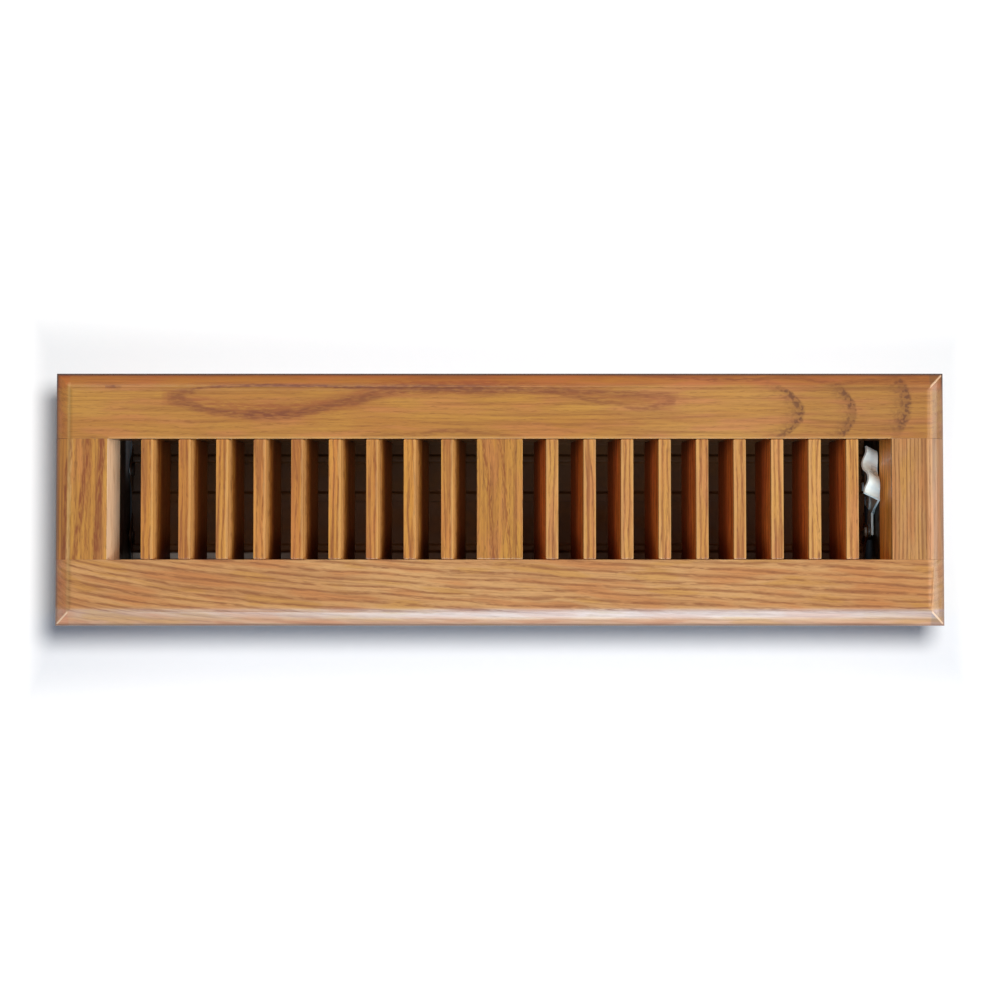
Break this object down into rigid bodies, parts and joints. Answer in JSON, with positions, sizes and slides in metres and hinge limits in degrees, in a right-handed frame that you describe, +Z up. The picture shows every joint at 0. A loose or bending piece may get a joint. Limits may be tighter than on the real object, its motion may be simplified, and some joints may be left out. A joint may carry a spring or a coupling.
{
  "type": "floor register",
  "caption": "Oak floor register with a bevelled face, two banks of tilted louvres, and a folded sheet-metal damper box whose blades turn with a thumb lever.",
  "frame": {"origin": "middle of the louvred opening, at floor level on the underside of the face", "axes": "+X along the face towards the lever end, +Y to the rear edge, +Z up out of the floor"},
  "size_m": [0.346, 0.0984, 0.0577],
  "materials": {
    "oak": "varnished oak, semi-gloss",
    "galvanised_sheet": "galvanised sheet",
    "bright_zinc": "bright zinc",
    "dark_enamel": "dark brown baked enamel, satin"
  },
  "bodies": {
    "frame": {"rear_rail": "oak", "front_rail": "oak", "left_stile": "oak", "right_stile": "oak", "centre_mullion": "oak", "slat_left_1": "oak", "slat_left_2": "oak", "slat_left_3": "oak", "slat_left_4": "oak", "slat_left_5": "oak", "slat_left_6": "oak", "slat_left_7": "oak", "slat_left_8": "oak", "slat_left_9": "oak", "slat_right_1": "oak", "slat_right_2": "oak", "slat_right_3": "oak", "slat_right_4": "oak", "slat_right_5": "oak", "slat_right_6": "oak", "slat_right_7": "oak", "slat_right_8": "oak", "slat_right_9": "oak", "damper_box": "galvanised_sheet", "box_screws": "bright_zinc", "lever_rivet": "bright_zinc", "friction_washer": "bright_zinc"},
    "lever": {"thumb_lever": "bright_zinc"},
    "rear_damper": {"rear_blade": "dark_enamel", "rear_blade_pivots": "bright_zinc", "rear_crank_pin": "bright_zinc"},
    "front_damper": {"front_blade": "dark_enamel", "front_blade_pivots": "bright_zinc", "front_crank_pin": "bright_zinc"}
  },
  "joints": [
    {"name": "lever_swing", "type": "hinge", "parent": "frame", "child": "lever", "pos_m": [0.1482, 0, -0.016], "axis": [1, 0, 0], "range_deg": [0, 53]},
    {"name": "rear_blade_turn", "type": "hinge", "parent": "frame", "child": "rear_damper", "pos_m": [0, 0.0133, -0.026], "axis": [1, 0, 0], "range_deg": [-79.5, 0]},
    {"name": "front_blade_turn", "type": "hinge", "parent": "frame", "child": "front_damper", "pos_m": [0, -0.0133, -0.026], "axis": [1, 0, 0], "range_deg": [-79.5, 0]}
  ],
  "couplings": [
    {"joint": "rear_blade_turn", "follows": "lever_swing", "ratio": -1.5},
    {"joint": "front_blade_turn", "follows": "lever_swing", "ratio": -1.5}
  ]
}
